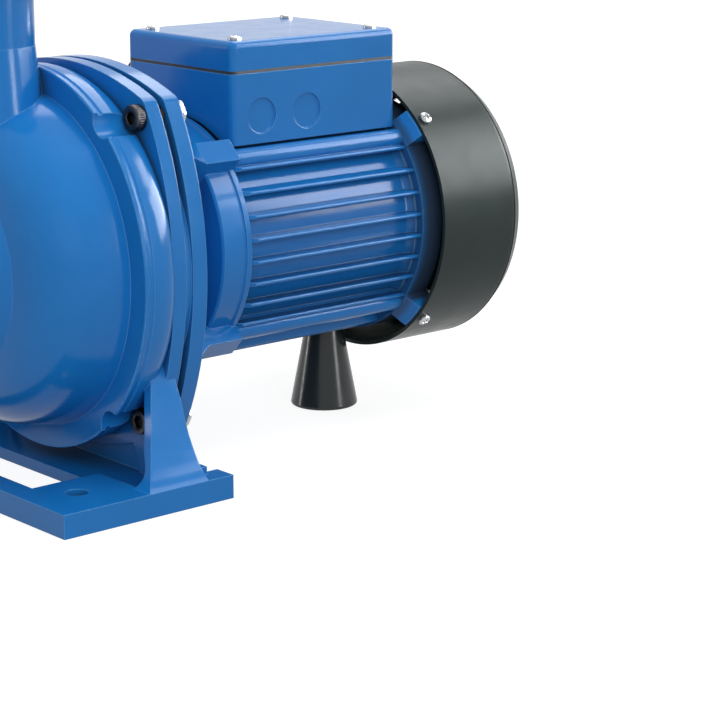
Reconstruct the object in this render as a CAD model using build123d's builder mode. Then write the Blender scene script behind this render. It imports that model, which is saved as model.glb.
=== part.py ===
from build123d import *
import math
import os

os.makedirs("parts", exist_ok=True)

# Electric centrifugal pump, millimetres.
# The origin lies on the floor, midway along and across the whole pump; +X runs
# from the suction neck to the fan cover and +Z is up.

# Base and stance
shaft_height = 110.0
base_width = 218.0
base_length = 100.0
base_thickness = 12.0
strip_width = 13.0
pad_width = 46.0
pad_length = 52.0
sill_length = 3.4
sill_rise = 4.0
base_hole_radius = 5.5
base_hole_spacing = 165.0
base_hole_setback = 25.5

# Bolted joint between the casing and the motor bracket
flange_half_width = 90.6
flange_half_height = 98.0
flange_arch = 175.0
flange_corner = 8.0
casing_flange_thickness = 7.6
bracket_flange_thickness = 8.6
joint_gap = 4.1
gasket_thickness = 1.1
register_radius = 89.6
register_width = 6.0
bolt_pitch_radius = 100.0
bolt_angle = 49.0
bolt_radius = 4.0
bolt_clearance = 0.4
bolt_head_radius = 6.5
bolt_head_height = 8.0
bolt_socket_across = 6.0
bolt_socket_depth = 4.0
bolt_end_length = 3.2
bolt_pocket_radius = 8.2
bolt_pocket_depth = 24.0

# Pump casing
drum_root_radius = 91.0
drum_radius = 97.0
drum_shoulder_length = 8.0
drum_length = 21.7
lip_radius = 97.7
lip_length = 2.2
lip_round = 0.8
groove_width = 3.6
groove_depth = 1.4
casing_depth = 74.0
casing_wall = 6.5
dome_radius = 85.3
dome_nose_radius = 52.0
front_round = 16.0
front_step = 8.0
suction_projection = 24.0
suction_outer_radius = 29.0
suction_collar_radius = 31.5
suction_collar_length = 13.0
suction_bore_radius = 19.5
discharge_height = 150.0
discharge_offset = 23.5
discharge_outer_radius = 23.5
discharge_collar_radius = 26.5
discharge_collar_length = 14.0
discharge_bore_radius = 15.2
discharge_foot_flare = 5.0
port_thread_length = 19.0
port_step = 2.0
plug_rise = 55.5
plug_projection = 10.0
plug_boss_radius = 11.0
plug_bore_radius = 5.8
plug_across = 17.0
plug_head_height = 6.0
plug_thread_length = 12.0

# Legs and the web between them
leg_thickness = 5.5
leg_foot_length = 37.8
leg_top_length = 14.3
leg_root_angle = 29.1
leg_setback = 2.3
web_thickness = 3.2
gusset_top_y = 42.0
gusset_foot_y = 58.6

# Motor bracket
bracket_length = 49.0
bracket_neck_length = 31.4
bracket_radius = 63.5
bracket_neck_radius = 47.0
bracket_skirt_radius = 62.0
bracket_wall = 6.0
bracket_lip = 1.0
bracket_lip_length = 3.0
lug_width = 13.2
lug_radius = 72.6
lug_root_radius = 58.5
lug_length = 21.5
arm_root_radius = 88.5

# Motor frame
frame_length = 116.0
frame_radius = 58.0
frame_wall = 4.5
frame_flare = 4.5
fin_radius = 66.2
fin_pitch = 11.6
fin_thickness = 2.2
fin_draft = 0.6
fin_nose = 3.5
side_fins = 8
bottom_fins = 6
tie_pitch_radius = 63.5
rib_radius = 5.2
tie_radius = 2.5
tie_clearance = 0.3
tie_grip = 10.0
tie_head_radius = 4.5
tie_head_height = 3.5

# Rear shield, fan and cover
shield_thickness = 6.0
shield_radius = 67.0
shield_skirt_length = 14.0
shield_wall = 4.0
ear_length = 17.0
ear_width = 17.0
ear_slope = 5.2
cover_radius = 78.0
cover_wall = 2.0
cover_length = 59.5
cover_round = 8.5
cover_screw_inset = 5.6
cover_screw_radius = 3.4
cover_screw_height = 2.2
slot_half_width = 1.8
slot_first_radius = 22.0
slot_pitch = 9.0
slot_rings = 5
fan_radius = 62.0
fan_width = 18.0
fan_disc = 2.5
fan_blade_thickness = 2.2
fan_hub_wall = 5.0
fan_gap = 6.0
fan_blades = 6

# Shaft line
shaft_radius = 8.5
shaft_nose_radius = 6.5
impeller_radius = 70.0
impeller_eye_radius = 21.0
impeller_width = 17.0
impeller_vanes = 6
shaft_clearance = 1.5
shaft_end_setback = 14.0
impeller_gap = 3.0
impeller_back = 3.0
impeller_shroud = 2.5
impeller_vane_half = 1.6
impeller_hub_wall = 5.0
nut_across = 19.0
nut_length = 8.0
bearing_outer_radius = 20.0
bearing_width = 12.0
bearing_lip = 1.0
bearing_seat_wall = 5.0
stator_length = 70.0
rotor_radius = 31.0
air_gap = 0.8
seal_radius = 16.0
seal_length = 8.0

# Terminal box
box_length = 112.0
box_inset = 3.5
box_width = 90.0
box_skirt_height = 51.5
box_seat_height = 62.0
box_top_height = 88.0
box_wall = 3.5
box_gasket = 1.5
lid_height = 15.0
entry_radius = 9.2
entry_spacing = 30.3
entry_inset = 19.5
entry_recess = 1.2
entry_rise = 5.0
box_corner = 4.0
lid_round = 3.5
lid_screw_inset = 10.0
lid_screw_radius = 3.6
lid_screw_height = 2.0
barrel_clearance = 1.0
gland_bore_radius = 8.0
gland_thread_length = 9.0
gland_collar_length = 6.0
gland_across = 22.0
gland_neck_radius = 8.5
gland_neck_length = 5.0
gland_way_radius = 5.0
gland_nut_across = 21.0
gland_nut_length = 9.0
gland_nut_lip = 2.0
gland_seal_radius = 7.0
cable_radius = 4.0

# Rubber support
support_setback = 13.6
support_radius = 19.1
support_top_radius = 10.5
support_round = 1.5
support_height = 46.0
foot_clearance = 5.0

# Stations along the shaft
front_reach = (
    bracket_flange_thickness
    + joint_gap
    + casing_depth
    + front_step
    + suction_projection
)
rear_reach = bracket_length + frame_length + shield_thickness + cover_length
base_rear = (front_reach - rear_reach) / 2
base_x = base_rear - base_length / 2
base_front = base_rear - base_length
bracket_flange_rear = base_rear
bracket_flange_front = bracket_flange_rear - bracket_flange_thickness
casing_flange_rear = bracket_flange_front - joint_gap
casing_flange_front = casing_flange_rear - casing_flange_thickness
drum_front = casing_flange_front - drum_length
casing_front = casing_flange_rear - casing_depth
suction_face = casing_front - front_step - suction_projection
bracket_shoulder = bracket_flange_rear + bracket_neck_length
bearing_seat_x = bracket_shoulder + bearing_lip * 2
frame_front = bracket_flange_rear + bracket_length
frame_rear = frame_front + frame_length
shield_rear = frame_rear + shield_thickness
cover_front = shield_rear
cover_rear = cover_front + cover_length
discharge_x = casing_front + discharge_offset
plug_face = casing_front - plug_projection
cover_inner = cover_radius - cover_wall
base_top = base_thickness - shaft_height
bolt_y = bolt_pitch_radius * math.cos(math.radians(bolt_angle))
bolt_z = bolt_pitch_radius * math.sin(math.radians(bolt_angle))
bolt_places = [(sy * bolt_y, sz * bolt_z) for sy in (1, -1) for sz in (1, -1)]
corners = (45, 135, 225, 315)

shaft_axis = Axis((0, 0, shaft_height), (1, 0, 0))


def across(x):
    """Plane across the shaft at x: local x is +Y, local y is +Z, normal +X."""
    return Plane(origin=(x, 0, shaft_height), x_dir=(0, 1, 0), z_dir=(1, 0, 0))


def sideways(y):
    """Upright plane at y: local x is +X, local y is +Z, normal -Y."""
    return Plane(origin=(0, y, shaft_height), x_dir=(1, 0, 0), z_dir=(0, -1, 0))


def level(z):
    """Horizontal plane at height z above the floor."""
    return Plane.XY.offset(z)


lengthwise = sideways(0)


def radial(turn):
    """Plane through the shaft at an angle: local x is +X, local y points outward."""
    a = math.radians(turn)
    return Plane(
        origin=(0, 0, shaft_height), x_dir=(1, 0, 0), z_dir=(0, -math.sin(a), math.cos(a))
    )


def arched_outline(half_width, half_height, arch, corner):
    """Oblong outline whose four sides are shallow arcs, with rounded corners."""
    a = half_width - arch
    b = half_height - arch
    # The arcs meet where both circles hold: y = p * z + q, then a quadratic in z
    p = b / a
    q = (a * a - b * b) / (2 * a)
    k = p * (q - a)
    z = (math.sqrt(k * k - (p * p + 1) * ((q - a) ** 2 - arch**2)) - k) / (p * p + 1)
    y = p * z + q
    with BuildSketch() as outline:
        with BuildLine():
            ThreePointArc((-y, z), (0, half_height), (y, z))
            ThreePointArc((y, z), (half_width, 0), (y, -z))
            ThreePointArc((y, -z), (0, -half_height), (-y, -z))
            ThreePointArc((-y, -z), (-half_width, 0), (-y, z))
        make_face()
        fillet(outline.vertices(), radius=corner)
    return outline.sketch


def fin(row):
    """Fin that reaches out along local x at a height: drafted sides and a round tip."""
    tip = math.sqrt(fin_radius**2 - row**2) - fin_thickness / 2
    with BuildSketch() as outline:
        with BuildLine():
            Polyline(
                (0, row - fin_thickness / 2 - fin_draft),
                (tip, row - fin_thickness / 2),
                (tip, row + fin_thickness / 2),
                (0, row + fin_thickness / 2 + fin_draft),
                close=True,
            )
        make_face()
        with Locations((tip, row)):
            Circle(fin_thickness / 2)
    return outline.sketch


def save(piece, name):
    """Name a finished piece and write it."""
    piece.label = name
    export_step(piece, f"parts/{name}.step")


# Leg: a thin plate that flares from the drum's side down to the edge of the base
# and whose front edge runs back as it rises
leg_root_y = drum_root_radius * math.cos(math.radians(leg_root_angle))
leg_root_z = -drum_root_radius * math.sin(math.radians(leg_root_angle))
leg_form = [
    (0.0, 0.0),
    (0.13, 0.17),
    (0.29, 0.36),
    (0.42, 0.57),
    (0.59, 0.75),
    (0.78, 0.9),
    (1.0, 1.0),
]
leg_outer = [
    (leg_root_y + f * (base_width / 2 - leg_root_y), leg_root_z + g * (base_top - leg_root_z))
    for f, g in leg_form
]
leg_front = [
    (casing_flange_rear - leg_top_length - f * (leg_foot_length - leg_top_length), z)
    for (f, g), (y, z) in zip(leg_form, leg_outer)
]
leg_bottom = base_top - base_thickness / 2
leg_rear = casing_flange_rear - leg_setback
chamber_radius = register_radius - register_width
gusset_top_z = -math.sqrt(chamber_radius**2 - gusset_top_y**2)
with BuildPart() as leg:
    with BuildSketch(across(leg_rear)):
        with BuildLine():
            outer = Spline(*leg_outer)
            inner = Spline(*[(y - leg_thickness, z) for y, z in leg_outer[:-1]],
                           (base_width / 2 - strip_width, base_top))
            Line(inner @ 0, outer @ 0)
            Polyline(
                outer @ 1,
                (base_width / 2, leg_bottom),
                (base_width / 2 - strip_width, leg_bottom),
                inner @ 1,
            )
        make_face()
    extrude(amount=-leg_foot_length)
    with BuildSketch(lengthwise):
        with BuildLine():
            front = Spline(*leg_front)
            Polyline(
                front @ 1,
                (casing_flange_rear - leg_foot_length, leg_bottom),
                (leg_rear, leg_bottom),
                (leg_rear, leg_root_z),
                front @ 0,
            )
        make_face()
    extrude(amount=base_width, both=True, mode=Mode.INTERSECT)

# Pump casing: volute drum, flange, necks, legs and base in one casting
inner_front = casing_front + casing_wall
shoulder_x = casing_flange_front - drum_shoulder_length
lip_rear = drum_front + lip_length
groove_rear = lip_rear + groove_width
dome_length = drum_front - casing_front
dome_form = [(0.0, 0.0), (0.22, 0.04), (0.62, 0.2), (0.9, 0.58), (1.0, 1.0)]
dome = [
    (drum_front - f * dome_length, dome_radius - g * (dome_radius - dome_nose_radius))
    for f, g in dome_form
]
with BuildPart() as pump_casing:
    with BuildSketch(lengthwise):
        with BuildLine():
            flange_side = Polyline(
                (casing_flange_rear, 0),
                (casing_flange_rear, drum_root_radius),
                (casing_flange_front, drum_root_radius),
            )
            shoulder = Spline(
                flange_side @ 1,
                (shoulder_x, drum_radius - groove_depth * 0.4),
                (groove_rear, drum_radius),
                tangents=[(-0.45, 1), (-1, 0)],
            )
            groove = ThreePointArc(
                shoulder @ 1,
                (lip_rear + groove_width * 0.45, lip_radius - groove_depth),
                (lip_rear, lip_radius),
            )
            lip = Polyline(groove @ 1, (drum_front, lip_radius), (drum_front, dome_radius))
            nose = Spline(*dome, tangents=[(-1, -0.02), (-0.25, -1)])
            Polyline(
                nose @ 1,
                (casing_front - front_step, suction_outer_radius + front_round),
                (casing_front - front_step, 0),
                flange_side @ 0,
            )
        make_face()
    revolve(axis=shaft_axis)
    round_edges = pump_casing.edges().filter_by(GeomType.CIRCLE)
    fillet(
        round_edges.filter_by(lambda e: abs(e.radius - lip_radius) < 0.01).sort_by(Axis.X)[0],
        radius=lip_round,
    )
    # Suction neck with its collar
    with BuildSketch(across(suction_face)):
        Circle(suction_outer_radius)
    extrude(until=Until.NEXT)
    with BuildSketch(across(suction_face)):
        Circle(suction_collar_radius)
    extrude(amount=suction_collar_length)
    # Discharge neck with its collar
    with BuildSketch(level(shaft_height + dome_nose_radius)):
        with Locations((discharge_x, 0)):
            Circle(discharge_outer_radius + discharge_foot_flare)
    extrude(amount=lip_radius + discharge_foot_flare * 2 - dome_nose_radius, taper=5)
    with BuildSketch(level(shaft_height + discharge_height)):
        with Locations((discharge_x, 0)):
            Circle(discharge_outer_radius)
    extrude(amount=dome_nose_radius - discharge_height)
    with BuildSketch(level(shaft_height + discharge_height)):
        with Locations((discharge_x, 0)):
            Circle(discharge_collar_radius)
    extrude(amount=-discharge_collar_length)
    # Flange
    with BuildSketch(across(casing_flange_front)):
        add(arched_outline(flange_half_width, flange_half_height, flange_arch, flange_corner))
    extrude(amount=casing_flange_thickness)
    # Legs, with gussets in the plane of the flange and a thinner web between them
    add(leg.part)
    add(mirror(leg.part, about=Plane.XZ, mode=Mode.PRIVATE))
    with BuildSketch(across(casing_flange_front)):
        for side in (1, -1):
            with BuildLine():
                Polyline(
                    (side * gusset_top_y, gusset_top_z),
                    (side * gusset_foot_y, base_top),
                    (side * gusset_foot_y, leg_bottom),
                    (side * (base_width / 2 - 1), leg_bottom),
                    *[(side * (y - leg_thickness / 2), z) for y, z in leg_outer[:0:-1]],
                    close=True,
                )
            make_face()
    extrude(amount=leg_rear - casing_flange_front)
    with BuildSketch(across(leg_rear - web_thickness)):
        with Locations((0, (leg_bottom - gusset_foot_y) / 2)):
            Rectangle(2 * gusset_foot_y, -gusset_foot_y - leg_bottom)
    extrude(amount=web_thickness)
    # Base: side strips, front pads, a cross bar in front and a lower one behind them
    strip_y = (base_width - strip_width) / 2
    pad_y = (base_width - pad_width) / 2
    pad_rear = base_front + pad_length
    with BuildSketch(level(0)):
        with Locations((base_x, strip_y), (base_x, -strip_y)):
            Rectangle(base_length, strip_width)
        with Locations((base_front + pad_length / 2, pad_y), (base_front + pad_length / 2, -pad_y)):
            Rectangle(pad_length, pad_width)
        with Locations((base_front + strip_width / 2, 0)):
            Rectangle(strip_width, base_width - 2 * strip_width)
    extrude(amount=base_thickness)
    with BuildSketch(level(0)):
        with Locations(((pad_rear + leg_rear) / 2, 0)):
            Rectangle(leg_rear - pad_rear, base_width - 2 * strip_width)
    extrude(amount=shaft_height + leg_bottom)
    with BuildSketch(level(base_thickness + sill_rise)):
        with Locations(((leg_rear + casing_flange_rear + sill_length) / 2, 0)):
            Rectangle(sill_length + leg_setback, base_width - 1.4 * strip_width)
    extrude(amount=-base_thickness)
    # The sill stays clear of the gasket and the bracket's register
    with BuildSketch(across(casing_flange_rear)):
        Circle(register_radius + joint_gap)
    extrude(amount=sill_length, mode=Mode.SUBTRACT)
    # Priming plug boss on the dome and drain boss below it
    with BuildSketch(across(plug_face)):
        with Locations((0, plug_rise), (0, -plug_rise)):
            Circle(plug_boss_radius)
    extrude(amount=plug_projection + casing_wall)
    # Pockets that clear the bolt heads
    with BuildSketch(across(casing_flange_front)):
        with Locations(*bolt_places):
            Circle(bolt_pocket_radius)
    extrude(amount=-bolt_pocket_depth, mode=Mode.SUBTRACT)
    # Water chamber and bores
    with BuildSketch(lengthwise):
        with BuildLine():
            hollow = Spline(*[(x + casing_wall, r - casing_wall) for x, r in dome])
            Polyline(
                hollow @ 0,
                (drum_front + 1.8 * casing_wall, chamber_radius),
                (casing_flange_rear, chamber_radius),
                (casing_flange_rear, 0),
                (inner_front, 0),
                hollow @ 1,
            )
        make_face()
    revolve(axis=shaft_axis, mode=Mode.SUBTRACT)
    with BuildSketch(across(suction_face)):
        Circle(suction_bore_radius)
    extrude(amount=port_thread_length, mode=Mode.SUBTRACT)
    with BuildSketch(across(suction_face)):
        Circle(suction_bore_radius - port_step)
    extrude(amount=casing_depth, mode=Mode.SUBTRACT)
    with BuildSketch(level(shaft_height + discharge_height)):
        with Locations((discharge_x, 0)):
            Circle(discharge_bore_radius)
    extrude(amount=-port_thread_length, mode=Mode.SUBTRACT)
    with BuildSketch(level(shaft_height + discharge_height)):
        with Locations((discharge_x, 0)):
            Circle(discharge_bore_radius - port_step)
    extrude(amount=dome_nose_radius * 0.8 - discharge_height, mode=Mode.SUBTRACT)
    with BuildSketch(across(plug_face)):
        with Locations((0, plug_rise), (0, -plug_rise)):
            Circle(plug_bore_radius)
    extrude(amount=plug_projection + 2.5 * casing_wall, mode=Mode.SUBTRACT)
    with BuildSketch(across(casing_flange_front)):
        with Locations(*bolt_places):
            Circle(bolt_radius + bolt_clearance)
    extrude(amount=casing_flange_thickness, mode=Mode.SUBTRACT)
    with BuildSketch(level(0)):
        with Locations(
            (base_front + base_hole_setback, base_hole_spacing / 2),
            (base_front + base_hole_setback, -base_hole_spacing / 2),
        ):
            Circle(base_hole_radius)
    extrude(amount=base_thickness, mode=Mode.SUBTRACT)
save(pump_casing.part, "pump_casing")

# Gasket behind the casing flange
with BuildPart() as casing_gasket:
    with BuildSketch(across(casing_flange_rear)):
        Circle(register_radius)
        Circle(register_radius - register_width, mode=Mode.SUBTRACT)
    extrude(amount=gasket_thickness)
save(casing_gasket.part, "casing_gasket")

# Flange bolts: socket heads in front, screwed through the bracket's flange
with BuildPart() as flange_bolts:
    with BuildSketch(across(casing_flange_front)):
        with Locations(*bolt_places):
            Circle(bolt_head_radius)
    extrude(amount=-bolt_head_height)
    with BuildSketch(across(casing_flange_front - bolt_head_height)):
        with Locations(*bolt_places):
            RegularPolygon(bolt_socket_across / 2, 6, major_radius=False)
    extrude(amount=bolt_socket_depth, mode=Mode.SUBTRACT)
    with BuildSketch(across(casing_flange_front)):
        with Locations(*bolt_places):
            Circle(bolt_radius)
    extrude(amount=bracket_flange_rear - casing_flange_front + bolt_end_length)
save(flange_bolts.part, "flange_bolts")

# Motor bracket: flange, register, neck, shoulder and skirt with four lugs
register_front = casing_flange_rear + gasket_thickness
with BuildPart() as motor_bracket:
    with BuildSketch(across(bracket_flange_front)):
        add(arched_outline(flange_half_width, flange_half_height, flange_arch, flange_corner))
    extrude(amount=bracket_flange_thickness)
    with BuildSketch(lengthwise):
        with BuildLine():
            Polyline(
                (register_front, 0),
                (register_front, register_radius),
                (bracket_flange_front, register_radius),
                (bracket_flange_rear, bracket_skirt_radius + bracket_wall),
                (bracket_flange_rear + bracket_wall, bracket_skirt_radius),
                (bracket_shoulder - bracket_wall, bracket_neck_radius),
                (bracket_shoulder, bracket_neck_radius),
                (bracket_shoulder, bracket_radius - bracket_lip),
                (bracket_shoulder + bracket_lip, bracket_radius),
                (frame_front - bracket_lip_length, bracket_radius),
                (frame_front - bracket_lip_length, bracket_radius + bracket_lip),
                (frame_front, bracket_radius + bracket_lip),
                (frame_front, 0),
                close=True,
            )
        make_face()
    revolve(axis=shaft_axis)
    # Arms that run from the flange's corners down to the lugs
    for turn in corners:
        with BuildSketch(radial(turn)):
            with BuildLine():
                Polyline(
                    (bracket_flange_rear, bracket_skirt_radius - bracket_wall),
                    (bracket_flange_rear, arm_root_radius),
                    (frame_front - lug_length, lug_radius),
                    (frame_front, lug_radius),
                    (frame_front, lug_root_radius),
                    (bracket_shoulder + bracket_lip, lug_root_radius),
                    (bracket_shoulder, bracket_neck_radius - bracket_wall / 2),
                    close=True,
                )
            make_face()
        extrude(amount=lug_width / 2, both=True)
    # Hollow skirt, bearing seat, seal chamber and shaft bore
    with BuildSketch(lengthwise):
        with BuildLine():
            Polyline(
                (bracket_shoulder + bracket_wall, 0),
                (bracket_shoulder + bracket_wall, bracket_radius - bracket_wall),
                (frame_front, bracket_radius - bracket_wall),
                (frame_front, 0),
                close=True,
            )
        make_face()
    revolve(axis=shaft_axis, mode=Mode.SUBTRACT)
    with BuildSketch(across(bracket_shoulder + bracket_wall)):
        Circle(bearing_outer_radius + bearing_seat_wall)
    extrude(amount=bearing_seat_x + bearing_width - bracket_shoulder - bracket_wall)
    with BuildSketch(across(bearing_seat_x)):
        Circle(bearing_outer_radius)
    extrude(amount=bearing_width, mode=Mode.SUBTRACT)
    with BuildSketch(lengthwise):
        with BuildLine():
            Polyline(
                (bracket_flange_rear + bracket_wall, seal_radius + bracket_wall),
                (bracket_flange_rear + bracket_wall, bracket_skirt_radius - 1.5 * bracket_wall),
                (bracket_shoulder - bracket_wall, bracket_neck_radius - bracket_wall),
                (bracket_shoulder - bracket_wall, seal_radius + bracket_wall),
                close=True,
            )
        make_face()
    revolve(axis=shaft_axis, mode=Mode.SUBTRACT)
    with BuildSketch(across(register_front)):
        Circle(shaft_radius + shaft_clearance)
    extrude(amount=frame_front - register_front, mode=Mode.SUBTRACT)
    with BuildSketch(across(register_front)):
        Circle(seal_radius)
    extrude(amount=seal_length, mode=Mode.SUBTRACT)
    with BuildSketch(across(bracket_flange_front)):
        with Locations(*bolt_places):
            Circle(bolt_radius + bolt_clearance)
    extrude(amount=bracket_flange_thickness, mode=Mode.SUBTRACT)
    with BuildSketch(across(frame_front - tie_grip)):
        with PolarLocations(tie_pitch_radius, 4, start_angle=45):
            Circle(tie_radius)
    extrude(amount=tie_grip, mode=Mode.SUBTRACT)
save(motor_bracket.part, "motor_bracket")

# Motor frame: barrel with lengthwise fins, four tie ribs, box seat, foot boss
side_rows = [(i - (side_fins - 1) / 2) * fin_pitch for i in range(side_fins)]
bottom_rows = [(i - (bottom_fins - 1) / 2) * fin_pitch for i in range(bottom_fins)]
fin_places = [(row, turn) for row in side_rows for turn in (0, 180)]
fin_places += [(row, 270) for row in bottom_rows]
support_x = frame_rear - support_setback
box_front = frame_front + box_inset
box_x = box_front + box_length / 2
with BuildPart() as motor_frame:
    with BuildSketch(across(frame_front)):
        Circle(frame_radius - frame_wall / 2)
        for row, turn in fin_places:
            add(fin(row), rotation=turn)
    extrude(amount=frame_length)
    # Fin noses sloped back from the bracket's lip
    with BuildSketch(lengthwise):
        with BuildLine():
            Polyline(
                (frame_front, fin_radius - fin_nose),
                (frame_front + fin_nose, fin_radius),
                (frame_front + fin_nose, fin_radius + fin_nose),
                (frame_front, fin_radius + fin_nose),
                close=True,
            )
        make_face()
    revolve(axis=shaft_axis, mode=Mode.SUBTRACT)
    # Barrel that flares to the rear shield
    with BuildSketch(lengthwise):
        with BuildLine():
            flare = RadiusArc(
                (frame_rear, frame_radius + frame_flare),
                (frame_rear - frame_flare, frame_radius),
                frame_flare,
            )
            Polyline(
                flare @ 1,
                (frame_front, frame_radius),
                (frame_front, 0),
                (frame_rear, 0),
                flare @ 0,
            )
        make_face()
    revolve(axis=shaft_axis)
    with BuildSketch(across(frame_front)):
        with PolarLocations(tie_pitch_radius, 4, start_angle=45):
            Circle(rib_radius)
        with PolarLocations(tie_pitch_radius - rib_radius, 4, start_angle=45):
            Rectangle(2 * rib_radius, 1.6 * rib_radius)
    extrude(amount=frame_length)
    with BuildSketch(level(shaft_height)):
        with Locations((box_x, 0)):
            Rectangle(box_length - 4 * box_wall, box_width - 6 * box_wall)
    extrude(amount=box_seat_height)
    split(bisect_by=across(frame_rear), keep=Keep.BOTTOM)
    with BuildSketch(level(support_height)):
        with Locations((support_x, 0)):
            Circle(support_top_radius)
    extrude(amount=shaft_height - support_height)
    with BuildSketch(level(support_height)):
        with Locations((support_x, 0)):
            Circle(support_top_radius + foot_clearance)
    extrude(amount=-fin_radius, mode=Mode.SUBTRACT)
    with BuildSketch(across(frame_front)):
        Circle(frame_radius - frame_wall)
    extrude(amount=frame_length, mode=Mode.SUBTRACT)
    with BuildSketch(across(frame_front)):
        with PolarLocations(tie_pitch_radius, 4, start_angle=45):
            Circle(tie_radius + tie_clearance)
    extrude(amount=frame_length, mode=Mode.SUBTRACT)
save(motor_frame.part, "motor_frame")

# Rear end shield: disc, short skirt and four ears that carry the fan cover
ear_rear = frame_rear + ear_length
with BuildPart() as rear_shield:
    with BuildSketch(across(frame_rear)):
        Circle(shield_radius)
    extrude(amount=shield_thickness)
    with BuildSketch(across(frame_rear)):
        Circle(shield_radius)
        Circle(shield_radius - shield_wall, mode=Mode.SUBTRACT)
    extrude(amount=shield_skirt_length)
    for turn in corners:
        with BuildSketch(radial(turn)):
            with BuildLine():
                Polyline(
                    (frame_rear, frame_radius - shield_wall),
                    (frame_rear, shield_radius),
                    (frame_rear + ear_slope, cover_inner),
                    (ear_rear, cover_inner),
                    (ear_rear, frame_radius - shield_wall),
                    close=True,
                )
            make_face()
        extrude(amount=ear_width / 2, both=True)
    with BuildSketch(across(frame_rear)):
        Circle(cover_inner)
    extrude(amount=ear_length, mode=Mode.INTERSECT)
    with BuildSketch(across(shield_rear)):
        Circle(bearing_outer_radius + shield_thickness)
    extrude(amount=shield_thickness)
    with BuildSketch(across(frame_rear)):
        Circle(bearing_outer_radius)
    extrude(amount=bearing_width - bearing_lip, mode=Mode.SUBTRACT)
    with BuildSketch(across(frame_rear)):
        Circle(shaft_radius + shaft_clearance)
    extrude(amount=2 * shield_thickness, mode=Mode.SUBTRACT)
    with BuildSketch(across(frame_rear)):
        with PolarLocations(tie_pitch_radius, 4, start_angle=45):
            Circle(tie_radius + tie_clearance)
    extrude(amount=ear_length, mode=Mode.SUBTRACT)
save(rear_shield.part, "rear_shield")

# Tie bolts from the ears into the bracket lugs
with BuildPart() as tie_bolts:
    with BuildSketch(across(frame_front - tie_grip)):
        with PolarLocations(tie_pitch_radius, 4, start_angle=45):
            Circle(tie_radius)
    extrude(amount=tie_grip + frame_length + ear_length)
    with BuildSketch(across(ear_rear)):
        with PolarLocations(tie_pitch_radius, 4, start_angle=45):
            Circle(tie_head_radius)
    extrude(amount=tie_head_height)
save(tie_bolts.part, "tie_bolts")

# Shaft, rotor, stator and bearings
impeller_rear = register_front - impeller_gap
impeller_front = impeller_rear - impeller_width
rotor_x = (frame_front + frame_rear) / 2
with BuildPart() as motor_shaft:
    with BuildSketch(across(impeller_rear)):
        Circle(shaft_radius)
    extrude(amount=cover_rear - shaft_end_setback - impeller_rear)
    with BuildSketch(across(impeller_rear)):
        Circle(shaft_nose_radius)
    extrude(amount=-impeller_width - 1.6 * nut_length)
save(motor_shaft.part, "motor_shaft")

with BuildPart() as rotor_core:
    with BuildSketch(across(rotor_x - stator_length / 2)):
        Circle(rotor_radius)
        Circle(shaft_radius, mode=Mode.SUBTRACT)
    extrude(amount=stator_length)
save(rotor_core.part, "rotor_core")

with BuildPart() as stator_core:
    with BuildSketch(across(rotor_x - stator_length / 2)):
        Circle(frame_radius - frame_wall)
        Circle(rotor_radius + air_gap, mode=Mode.SUBTRACT)
    extrude(amount=stator_length)
save(stator_core.part, "stator_core")

with BuildPart() as bearings:
    with BuildSketch(across(bearing_seat_x)):
        Circle(bearing_outer_radius)
        Circle(shaft_radius, mode=Mode.SUBTRACT)
    extrude(amount=bearing_width)
    with BuildSketch(across(frame_rear - bearing_lip)):
        Circle(bearing_outer_radius)
        Circle(shaft_radius, mode=Mode.SUBTRACT)
    extrude(amount=bearing_width)
save(bearings.part, "bearings")

with BuildPart() as shaft_seal:
    with BuildSketch(across(register_front)):
        Circle(seal_radius)
        Circle(shaft_radius, mode=Mode.SUBTRACT)
    extrude(amount=seal_length)
save(shaft_seal.part, "shaft_seal")

# Impeller with its nut
with BuildPart() as impeller:
    with BuildSketch(across(impeller_rear)):
        Circle(impeller_radius)
    extrude(amount=-impeller_back)
    with BuildSketch(across(impeller_front)):
        Circle(impeller_radius)
        Circle(impeller_eye_radius, mode=Mode.SUBTRACT)
    extrude(amount=impeller_shroud)
    with BuildSketch(across(impeller_front)):
        with PolarLocations(0, impeller_vanes):
            with BuildLine():
                ThreePointArc(
                    (0.75 * impeller_eye_radius, 0),
                    (0.6 * impeller_radius, 0.14 * impeller_radius),
                    (impeller_radius - 2 * impeller_vane_half, 0),
                )
                offset(amount=impeller_vane_half)
            make_face()
    extrude(amount=impeller_width)
    with BuildSketch(across(impeller_rear)):
        Circle(shaft_nose_radius + impeller_hub_wall)
    extrude(amount=-impeller_width)
    with BuildSketch(across(impeller_rear)):
        Circle(shaft_nose_radius)
    extrude(amount=-2 * impeller_width, mode=Mode.SUBTRACT)
save(impeller.part, "impeller")

with BuildPart() as impeller_nut:
    with BuildSketch(across(impeller_front)):
        RegularPolygon(nut_across / 2, 6, major_radius=False)
        Circle(shaft_nose_radius, mode=Mode.SUBTRACT)
    extrude(amount=-nut_length)
save(impeller_nut.part, "impeller_nut")

# Fan and its cover with a slotted rear
fan_x = ear_rear + fan_gap
with BuildPart() as cooling_fan:
    with BuildSketch(across(fan_x)):
        Circle(fan_radius)
    extrude(amount=fan_disc)
    with BuildSketch(across(fan_x)):
        Circle(shaft_radius + fan_hub_wall)
    extrude(amount=fan_width)
    with BuildSketch(across(fan_x)):
        with PolarLocations(0, fan_blades):
            with Locations(((fan_radius + shaft_radius) / 2, 0)):
                Rectangle(fan_radius - shaft_radius, fan_blade_thickness)
    extrude(amount=fan_width)
    with BuildSketch(across(fan_x)):
        Circle(shaft_radius)
    extrude(amount=fan_width, mode=Mode.SUBTRACT)
save(cooling_fan.part, "cooling_fan")

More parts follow.
